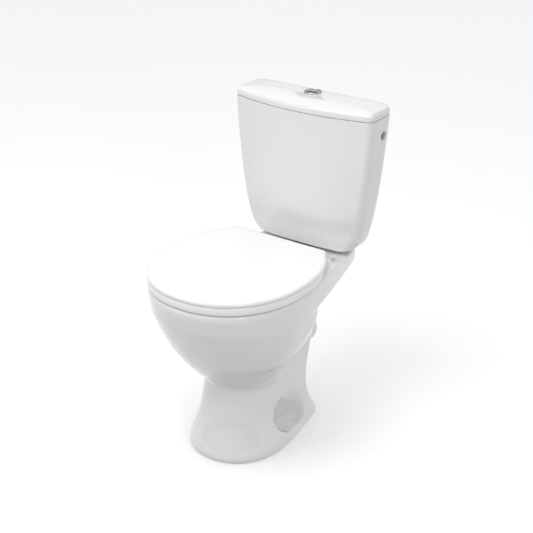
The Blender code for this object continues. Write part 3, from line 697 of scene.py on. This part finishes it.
def build_pan(sizes, material):
    pan = pan_shell()
    step = [(112, 419.5), (168, 403), (290, 403), (290, 440), (112, 440)]
    hollow = skin("hollow", filled_in([d_outline(*s, 1.6, 2.15, 96) for s in FOOT_HOLLOW], 3))
    cut(hollow, foot_pad(1), foot_pad(-1))
    bowl = skin("bowl_room", [egg(*s, 112) for s in CAVITY[:3]] + filled_in(
        [egg(*s, 112) for s in CAVITY[3:]], 4))
    cut(pan, prism("deck_step", step, -200, 200), hollow, bowl, water_way())
    cut(pan, rod("outlet", 43, 166, 204, (0, 0, SPIGOT_Z), "Y"))
    cut(pan, rod("recess", 37.6, 383, 430, (0, FLUSH_Y, 0)), rod("well", 24, 372, 400, (0, FLUSH_Y, 0)))
    cut(pan, rod("flush_duct", 14, 62, FLUSH_Y, (0, 0, 374), "Y", 32))
    for side in (1, -1):
        cut(pan, ovals("scoop", side, FOOT_SCOOP), ovals("skirt", side, FOOT_SKIRT))
        bolt_spot = (side * TANK_BOLT[0], TANK_BOLT[1], 0)
        cut(pan, rod("floor_hole", 4.5, -8, 40, (side * FLOOR_SCREW[0], FLOOR_SCREW[1], 0)))
        cut(pan, rod("seat_hole", 7.8, 373.5, 440, (side * HINGE_X, HINGE[0], 0)))
        cut(pan, rod("bolt_hole", 6.0, 330, 430, bolt_spot))
        cut(pan, rod("nut_recess", 17.0, 320, 378, bolt_spot))
    applied(pan, "REMESH", mode="VOXEL", voxel_size=sizes.glaze_voxel, adaptivity=0.0)
    applied(pan, "SMOOTH", factor=0.5, iterations=6)
    faded_band(pan, "waist", 13, 322, 14)
    applied(pan, "SMOOTH", factor=0.5, iterations=24, vertex_group="waist")
    finished(pan, material, "fixed_parts", "glazed_ceramic", "pan", smooth=60)


class TOILET_OT_pan(bpy.types.Operator):
    """Build the ceramic pan with its bowl, deck, pedestal and outlet"""

    bl_idname = "toilet.pan"
    bl_label = "Pan"

    def execute(self, context):
        build_pan(context.scene.toilet_sizes, bpy.data.materials["white glaze"])
        return {"FINISHED"}


# ---------------------------------------------------------------- cistern


def side_port(side):
    """A cutter with a flared mouth, for a hole with a rounded glaze lip."""
    surface = 180.4
    profile = [(0, 150), (10, 150), (10, surface - 3)]
    for i in range(1, 9):
        t = math.radians(90) * i / 8
        profile.append((13 - 3 * math.cos(t), surface - 3 + 3 * math.sin(t)))
    profile += [(13.2, surface + 8), (0, surface + 8)]
    port = turned("side_port", profile, (0, 0, 0), "X", 48, closed=False)
    port.rotation_euler.z = 0.0 if side > 0 else math.pi
    port.location = Vector((0, *SIDE_HOLE)) * MM
    fixed_in_place(port)
    return port


def build_tank(material):
    outside = filled_in([tank_outline(*station) for station in TANK], 5)
    inside = filled_in([tank_outline(*station, inset=9.0) for station in TANK[2:]], 4)
    top = TANK[-1]
    lip = [
        tank_outline(top[0] + rise, *top[1:], inset=inset)
        for rise, inset in ((-0.4, 0.1), (0.0, 1.2), (0.0, 7.8), (-0.4, 8.9))
    ]
    tank = skin("cistern", [*outside[:-1], *lip, *inside[-2::-1]])
    cut(tank, rod("valve_hole", 31.5, 400, 430, (0, FLUSH_Y, 0), "Z", 64))
    for side in (1, -1):
        cut(tank, rod("bolt_hole", 6.0, 400, 430, (side * TANK_BOLT[0], TANK_BOLT[1], 0)), side_port(side))
    finished(tank, material, "fixed_parts", "glazed_ceramic", "cistern_tank")


def build_cover(sizes, material):
    top = TANK[-1]

    def outline(z, inset):
        return tank_outline(z, top[1] - 1, *top[2:], inset=inset)

    edge = outline(*COVER_EDGE[-1])
    dome = [shrunk(edge, share, (0, FLUSH_Y), z) for z, share in COVER_DOME]
    outside = filled_in([*(outline(z, inset) for z, inset in COVER_EDGE), *dome], 4)
    under = [(738, 11.2), (727.2, 12.2), (726, 13.5), (726, 16.0), (744, 17), (753, 26)]
    underside = [outline(z, inset) for z, inset in under]
    underside += [
        shrunk(underside[-1], share, (0, FLUSH_Y), z) for z, share in ((755.2, 0.7), (756, 0.3))
    ]
    cover = skin("cistern_cover", [*underside[::-1], *outside])
    cut(cover, rod("button_hole", sizes.cover_hole / MM, 740, 780, (0, FLUSH_Y, 0), "Z", 64))
    finished(cover, material, "cistern_lid", "glazed_ceramic", "cistern_lid")


class TOILET_OT_cistern(bpy.types.Operator):
    """Build the ceramic cistern and its lift-off lid"""

    bl_idname = "toilet.cistern"
    bl_label = "Cistern"

    def execute(self, context):
        material = bpy.data.materials["white glaze"]
        build_tank(material)
        build_cover(context.scene.toilet_sizes, material)
        return {"FINISHED"}


# ---------------------------------------------------------------- seat


def hinge_eye(name, side, near, far, arm):
    low, high = sorted((side * near, side * far))
    eye = rod(name, HINGE_EYE_R, low, high, (0, *HINGE), "X")
    join(eye, prism("arm", arm, low, high))
    return bevelled(eye, 0.8, 2)


def eye_bore(side, near, far):
    low, high = sorted((side * near, side * far))
    return rod("bore", HINGE_BORE_R, low - 2, high + 2, (0, *HINGE), "X")


def build_ring(material):
    outer = [
        seat_outline(z, inset, RING_REAR)
        for z, inset in (
            (421.5, 4.2), (421.9, 2.6), (423.0, 1.4), (425.5, 0.9), (430.5, 0.8), (436, 1.0),
            (438.2, 2.0), (439.8, 4.0), (440.7, 6.6), (441, 9.6),
        )
    ]
    inner = [
        egg(z, -222 - grow, SEAT_WIDE_Y, 44 + grow, 122 + grow)
        for z, grow in (
            (441, 10), (440.7, 7.0), (439.6, 4.2), (437.6, 2.0), (434.5, 0.6), (430, 0.2),
            (425.5, 1.2), (423, 3.0), (421.5, 5.6),
        )
    ]
    ring = skin("seat_ring_moulding", outer + inner, ring=True)
    for x, y in RING_PAD_SPOTS:
        cut(ring, rod("pocket", 8.3, 416, 424.5, (x, y, 0)))
    arm = [(RING_REAR - 3, 423.5), (105, 423.5), (105, 437.5), (RING_REAR - 3, 437)]
    for side in (1, -1):
        join(ring, hinge_eye("ring_eye", side, 86.8, 98.5, arm))
        cut(ring, eye_bore(side, 86.8, 98.5))
    finished(ring, material, "seat_ring", "seat_plastic", "seat_ring")


def build_lid(sizes, material):
    centre = np.array([0.0, -75.0])
    crown = sizes.lid_crown / MM
    edge = [
        seat_outline(z, inset, LID_REAR)
        for z, inset in (
            (442, 2.0), (442.2, 0.8), (442.9, 0.15), (444.5, 0.0), (446.8, 0.2), (448.6, 0.9),
            (450.3, 2.3), (451.4, 4.2), (452.1, 7.0),
        )
    ]
    flat = seat_outline(0, 11.0, LID_REAR)
    tops = []
    for share in (1.0, 0.93, 0.84, 0.72, 0.58, 0.42, 0.26, 0.12, 0.04):
        tops.append(shrunk(flat, share, centre, 453.5 - crown * share**2))
    under = [
        seat_outline(z, inset, LID_REAR)
        for z, inset in ((448.5, 9.5), (448.2, 7.8), (447, 7.1), (443, 6.6), (442, 5.6))
    ]
    low = [shrunk(under[0], share, centre, 448.5) for share in (0.04, 0.3, 0.6, 0.85, 0.96)]
    lid = skin("seat_lid_moulding", [*low, *under, *edge, *tops])
    arm = [(94.5, 442.4), (98, 430.5), (111.6, 433.5), (99.5, 448), (94.5, 448)]
    for side in (1, -1):
        join(lid, hinge_eye("lid_eye", side, 56.5, 68.2, arm))
        cut(lid, eye_bore(side, 56.5, 68.2))
    finished(lid, material, "seat_lid", "seat_plastic", "seat_lid")


def build_buffers(material):
    profile = [(0, 419.8), (5.0, 419.8), (6.0, 420.0), (6.9, 420.7), (7.6, 422), (7.6, 424.2), (0, 424.2)]
    for i, (x, y) in enumerate(RING_PAD_SPOTS):
        pad = turned(f"ring_pad_{i + 1}", profile, (x, y, 0), steps=40, closed=False)
        finished(pad, material, "seat_ring", "rubber", f"ring_buffer_{i + 1}")
    profile = [(0, 441.3), (4.0, 441.3), (5.2, 441.6), (6.1, 442.4), (6.5, 443.5), (6.5, 448.2), (0, 448.2)]
    for i, side in enumerate((1, -1)):
        pad = turned(f"lid_pad_{i + 1}", profile, (side * 96, -212, 0), steps=40, closed=False)
        finished(pad, material, "seat_lid", "rubber", f"lid_buffer_{i + 1}")


class TOILET_OT_seat(bpy.types.Operator):
    """Build the seat ring, the seat lid and their rubber pads"""

    bl_idname = "toilet.seat"
    bl_label = "Seat"

    def execute(self, context):
        material = bpy.data.materials["white seat moulding"]
        build_ring(material)
        build_lid(context.scene.toilet_sizes, material)
        build_buffers(bpy.data.materials["black rubber"])
        return {"FINISHED"}


# ---------------------------------------------------------------- hinges


def build_hinge(side, word, plastic, metal):
    x = side * HINGE_X
    profile = [
        (0, 419.8), (12.2, 419.8), (12.6, 420.2), (12.6, 420.9), (12.1, 421.5), (11.2, 421.8),
        (0, 421.8),
    ]
    post = turned("post", profile, (x, HINGE[0], 0), closed=False)
    cheek = [(HINGE[0] - 7, 421), (HINGE[0] + 7, 421), (HINGE[0] + 8, HINGE[1]), (HINGE[0] - 8, HINGE[1])]
    upright = prism("upright", cheek, x - 9, x + 9)
    join(upright, rod("crown", HINGE_EYE_R, x - 9, x + 9, (0, *HINGE), "X"))
    bevelled(upright, 0.9, 3)
    join(post, upright)
    cut(post, rod("bore", HINGE_BORE_R, x - 12, x + 12, (0, *HINGE), "X"))
    cut(post, rod("screw_way", 4.6, 415, 426.3, (x, HINGE[0], 0)))
    post.name = f"hinge_upright_{word}"
    finished(post, plastic, "fixed_parts", "white_plastic", f"hinge_post_{word}")
    ends = [(0, x - 21), (3.4, x - 21), (4.0, x - 20.4), (4.0, x + 20.4), (3.4, x + 21), (0, x + 21)]
    pin = turned(f"hinge_rod_{word}", ends, (0, *HINGE), "X", 40, closed=False)
    finished(pin, metal, "fixed_parts", "steel", f"hinge_pin_{word}")


class TOILET_OT_hinges(bpy.types.Operator):
    """Build the two seat hinges with their pins"""

    bl_idname = "toilet.hinges"
    bl_label = "Hinges"

    def execute(self, context):
        for side, word in ((1, "right"), (-1, "left")):
            build_hinge(
                side, word, bpy.data.materials["white moulding"], bpy.data.materials["stainless steel"]
            )
        return {"FINISHED"}


# ---------------------------------------------------------------- flush buttons


def build_bezel(material):
    profile = [
        (17.0, 765.4), (17.2, 766.3), (17.7, 766.85), (18.4, 767.0), (19.1, 766.7), (19.6, 766.0),
        (19.9, 765.2), (20.0, 764.4), (18.0, 764.3), (18.0, 731), (17.0, 731),
    ]
    bezel = turned("button_collar", profile, (0, FLUSH_Y, 0), steps=96)
    web = rod("web", 17.5, 738, 741, (0, FLUSH_Y, 0), "Z", 96)
    for x in (9, -9):
        cut(web, rod("way", 2.6, 730, 750, (x, 212, 0), "Z", 24))
    join(bezel, web)
    finished(bezel, material, "cistern_lid", "chrome", "button_bezel")


def button_face(side, radius, split, z):
    start = math.acos(split / radius)
    end = CIRCLE - start
    if side > 0:
        start, end = -start, start
    turn = np.linspace(start, end, 64)
    return np.column_stack(
        [radius * np.cos(turn), FLUSH_Y + radius * np.sin(turn), np.full(64, float(z))]
    )


def build_buttons(material):
    for word, side, split in (("full", -1, 3.75), ("half", 1, 4.25)):
        rows = [(758, 0.0), (765.0, 0.0), (765.6, 0.15), (766.05, 0.5), (766.3, 1.0), (766.4, 1.7)]
        loops = []
        for z, inset in rows:
            loops.append(button_face(side, 16.6 - inset, split + side * inset, z))
        button = skin(f"{word}_button", loops)
        finished(button, material, f"{word}_button", "chrome", f"{word}_flush_button", smooth=50)


class TOILET_OT_buttons(bpy.types.Operator):
    """Build the chrome collar and the full and half flush buttons"""

    bl_idname = "toilet.buttons"
    bl_label = "Flush buttons"

    def execute(self, context):
        material = bpy.data.materials["polished chrome"]
        build_bezel(material)
        build_buttons(material)
        return {"FINISHED"}


# ---------------------------------------------------------------- carried over pieces


class TOILET_OT_inner_works(bpy.types.Operator):
    """Give the inner works and fixings of the frame their finishes"""

    bl_idname = "toilet.inner_works"
    bl_label = "Inner works"

    def execute(self, context):
        looks = {
            "steel": "stainless steel", "brass": "machined brass", "rubber": "black rubber",
            "white_plastic": "white moulding", "blue_plastic": "blue moulding",
            "glazed_ceramic": "white glaze", "seat_plastic": "white seat moulding",
            "chrome": "polished chrome",
        }
        slots = {row["node"]: row["material_slot"] for row in frame["record"]["subparts"]}
        for node, slot in slots.items():
            piece = bpy.data.objects[node]
            material = bpy.data.materials[looks[slot]]
            for place in piece.material_slots:
                place.material = material
        return {"FINISHED"}


# ---------------------------------------------------------------- studio


def softbox(name, spot, aim, size, power):
    light = bpy.data.lights.new(name, "AREA")
    light.shape = "RECTANGLE"
    light.size, light.size_y = size
    light.energy = power
    lamp = bpy.data.objects.new(name, light)
    bpy.context.scene.collection.objects.link(lamp)
    lamp.location = spot
    lamp.rotation_euler = (Vector(aim) - Vector(spot)).to_track_quat("-Z", "Y").to_euler()


def build_floor():
    look = Finish(
        "studio floor", (0.93, 0.93, 0.93), 0.6, Emission_Color=(1, 1, 1, 1), Emission_Strength=0.12
    )
    mottle = look.noise(400, 2.0)
    look.set("Base Color", look.blend(mottle, (0.925, 0.925, 0.925), (0.935, 0.935, 0.935)))
    rest()
    bpy.ops.mesh.primitive_circle_add(
        vertices=96, radius=30.0, fill_type="NGON", location=(0, 0, -0.0002)
    )
    floor = named("studio_floor")
    floor.data.materials.append(look.material)
    floor.visible_diffuse = False


def dark_card(spot, aim, size):
    """A black card out of sight, for polished metal to mirror."""
    look = Finish("studio card", (0.02, 0.02, 0.02), 0.9)
    look.set("Base Color", look.blend(look.noise(60), (0.015, 0.015, 0.015), (0.025, 0.025, 0.025)))
    rest()
    bpy.ops.mesh.primitive_plane_add(size=size, location=spot)
    card = named("studio_card")
    card.rotation_euler = (Vector(aim) - Vector(spot)).to_track_quat("Z", "Y").to_euler()
    card.data.materials.append(look.material)
    card.visible_camera = False
    card.visible_diffuse = False
    card.visible_shadow = False


def build_wall():
    """A pale round wall behind the floor, seen by the camera only."""
    look = Finish("studio wall", (0.9, 0.9, 0.9), 0.9, Emission_Color=(1, 1, 1, 1), Emission_Strength=0.9)
    look.set("Base Color", look.blend(look.noise(900), (0.89, 0.89, 0.89), (0.91, 0.91, 0.91)))
    rest()
    bpy.ops.mesh.primitive_cylinder_add(vertices=96, radius=28.0, depth=40.0, end_fill_type="NOTHING")
    wall = named("studio_wall")
    wall.data.materials.append(look.material)
    wall.visible_diffuse = False
    wall.visible_glossy = False
    wall.visible_shadow = False


def build_sky(stops):
    world = bpy.data.worlds.new("studio_sky")
    bpy.context.scene.world = world
    world.use_nodes = True
    tree = world.node_tree
    place = tree.nodes.new("ShaderNodeTexCoord")
    split = tree.nodes.new("ShaderNodeSeparateXYZ")
    ramp = tree.nodes.new("ShaderNodeValToRGB")
    while len(ramp.color_ramp.elements) < len(stops):
        ramp.color_ramp.elements.new(0.5)
    for element, (spot, level) in zip(ramp.color_ramp.elements, stops):
        element.position = spot
        element.color = (level, level, level, 1.0)
    back = tree.nodes["Background"]
    tree.links.new(place.outputs["Generated"], split.inputs[0])
    tree.links.new(split.outputs["Z"], ramp.inputs[0])
    tree.links.new(ramp.outputs[0], back.inputs["Color"])


def build_camera():
    data = bpy.data.cameras.new("studio_camera")
    data.lens = 84.74
    data.shift_x = 0.0338
    data.shift_y = 0.0349
    data.clip_end = 100
    camera = bpy.data.objects.new("studio_camera", data)
    bpy.context.scene.collection.objects.link(camera)
    turn = math.radians(CAMERA_TURN)
    rise = math.radians(CAMERA_RISE)
    back = Vector(
        (math.sin(turn) * math.cos(rise), -math.cos(turn) * math.cos(rise), math.sin(rise))
    )
    camera.location = Vector(CAMERA_AIM) + back * CAMERA_REACH
    camera.rotation_euler = (-back).to_track_quat("-Z", "Y").to_euler()
    bpy.context.scene.camera = camera


class TOILET_OT_studio(bpy.types.Operator):
    """Set the pale floor, the soft lights, the sky and the camera"""

    bl_idname = "toilet.studio"
    bl_label = "Studio"

    def execute(self, context):
        build_floor()
        build_wall()
        dark_card(CARD_SPOT, CARD_AIM, 0.07)
        build_sky(SKY)
        for box in SOFTBOXES:
            softbox(*box)
        context.scene.view_settings.view_transform = "Standard"
        build_camera()
        return {"FINISHED"}


class TOILET_OT_finishes(bpy.types.Operator):
    """Make the finishes that the pieces share"""

    bl_idname = "toilet.finishes"
    bl_label = "Finishes"

    def execute(self, context):
        glaze()
        seat_plastic()
        chrome()
        steel()
        brass()
        rubber()
        moulded("white moulding", (0.80, 0.81, 0.82), (0.86, 0.865, 0.87))
        moulded("blue moulding", (0.13, 0.36, 0.60), (0.20, 0.45, 0.68))
        return {"FINISHED"}


class TOILET_PT_panel(bpy.types.Panel):
    bl_label = "Toilet"
    bl_idname = "TOILET_PT_panel"
    bl_space_type = "VIEW_3D"
    bl_region_type = "UI"
    bl_category = "Toilet"

    def draw(self, context):
        for name in ToiletSizes.__annotations__:
            self.layout.prop(context.scene.toilet_sizes, name)
        for operator in OPERATORS:
            self.layout.operator(operator.bl_idname)


OPERATORS = (
    TOILET_OT_finishes,
    TOILET_OT_inner_works,
    TOILET_OT_pan,
    TOILET_OT_cistern,
    TOILET_OT_seat,
    TOILET_OT_hinges,
    TOILET_OT_buttons,
    TOILET_OT_studio,
)


def register():
    for kind in (ToiletSizes, *OPERATORS, TOILET_PT_panel):
        bpy.utils.register_class(kind)
    bpy.types.Scene.toilet_sizes = bpy.props.PointerProperty(type=ToiletSizes)


def unregister():
    del bpy.types.Scene.toilet_sizes
    for kind in (TOILET_PT_panel, *OPERATORS[::-1], ToiletSizes):
        bpy.utils.unregister_class(kind)


def main():
    register()
    bpy.ops.toilet.finishes()
    bpy.ops.toilet.inner_works()
    bpy.ops.toilet.pan()
    bpy.ops.toilet.cistern()
    bpy.ops.toilet.seat()
    bpy.ops.toilet.hinges()
    bpy.ops.toilet.buttons()
    bpy.ops.toilet.studio()


if __name__ == "__main__":
    main()
